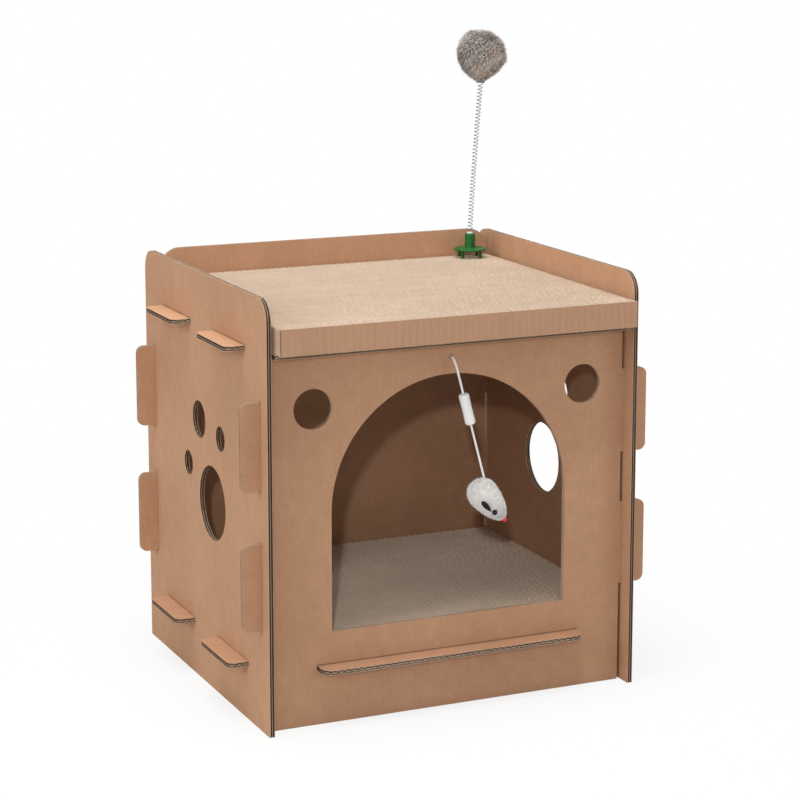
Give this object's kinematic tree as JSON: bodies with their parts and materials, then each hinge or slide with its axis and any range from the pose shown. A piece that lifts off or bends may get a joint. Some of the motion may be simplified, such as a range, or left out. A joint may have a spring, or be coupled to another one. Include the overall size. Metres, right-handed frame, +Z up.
{
  "type": "cardboard cat condo",
  "caption": "Flat-pack corrugated cat house with arched doorway, slotted boards, scratching pads, ball on a spring and hanging mouse toy.",
  "frame": {"origin": "on the ground under the middle of the house's outline, from the top pad's front edge to the side boards' back edges", "axes": "+X to the right across the front, +Y towards the back, +Z up"},
  "size_m": [0.408, 0.3466, 0.607],
  "materials": {
    "board": "kraft paper, matte",
    "pad": "strips on edge, matte",
    "foot": "glossy",
    "ferrule": "satin",
    "spring": "bright wire",
    "plug": "satin",
    "ball": "long plush",
    "cord": "satin",
    "sleeve": "soft, matte",
    "plush": "short plush",
    "ear": "matte",
    "eye": "glossy",
    "nose": "glossy"
  },
  "bodies": {
    "house": {"left_panel": "board", "right_panel": "board", "front_panel": "board", "back_panel": "board", "roof_panel": "board", "floor_panel": "board", "floor_pad": "pad", "cord_anchor": "cord"},
    "pad": {"top_pad": "pad", "toy_base": "foot", "spring_ferrule": "ferrule"},
    "spring": {"toy_spring": "spring"},
    "ball": {"ball_plug": "plug", "pom_pom": "ball"},
    "cord": {"cord_upper": "cord", "cord_sleeve": "sleeve"},
    "mouse": {"cord_lower": "cord", "mouse_body": "plush", "mouse_ear_left": "ear", "mouse_ear_right": "ear", "mouse_eyes": "eye", "mouse_nose": "nose"}
  },
  "joints": [
    {"name": "pad_lift", "type": "slide", "parent": "house", "child": "pad", "axis": [0, 0, 1], "range_m": [0, 0.06]},
    {"name": "ball_nod", "type": "hinge", "parent": "pad", "child": "spring", "pos_m": [0.15, 0.12725, 0.399], "axis": [1, 0, 0], "range_deg": [-35, 35], "stiffness_Nm_per_rad": 0.15, "deforming": ["toy_spring"]},
    {"name": "ball_sway", "type": "hinge", "parent": "spring", "child": "ball", "pos_m": [0.1548, 0.12725, 0.477], "axis": [0, 1, 0], "range_deg": [-35, 35], "stiffness_Nm_per_rad": 0.15, "deforming": ["toy_spring"]},
    {"name": "cord_swing", "type": "hinge", "parent": "house", "child": "cord", "pos_m": [0, -0.14375, 0.33], "axis": [1, 0, 0], "range_deg": [-40, 25], "stiffness_Nm_per_rad": 0.1, "deforming": ["cord_upper"]},
    {"name": "mouse_sway", "type": "hinge", "parent": "cord", "child": "mouse", "pos_m": [0.01682, -0.15075, 0.26721], "axis": [0, 1, 0], "range_deg": [-35, 45], "stiffness_Nm_per_rad": 0.1, "deforming": ["cord_lower"]}
  ]
}
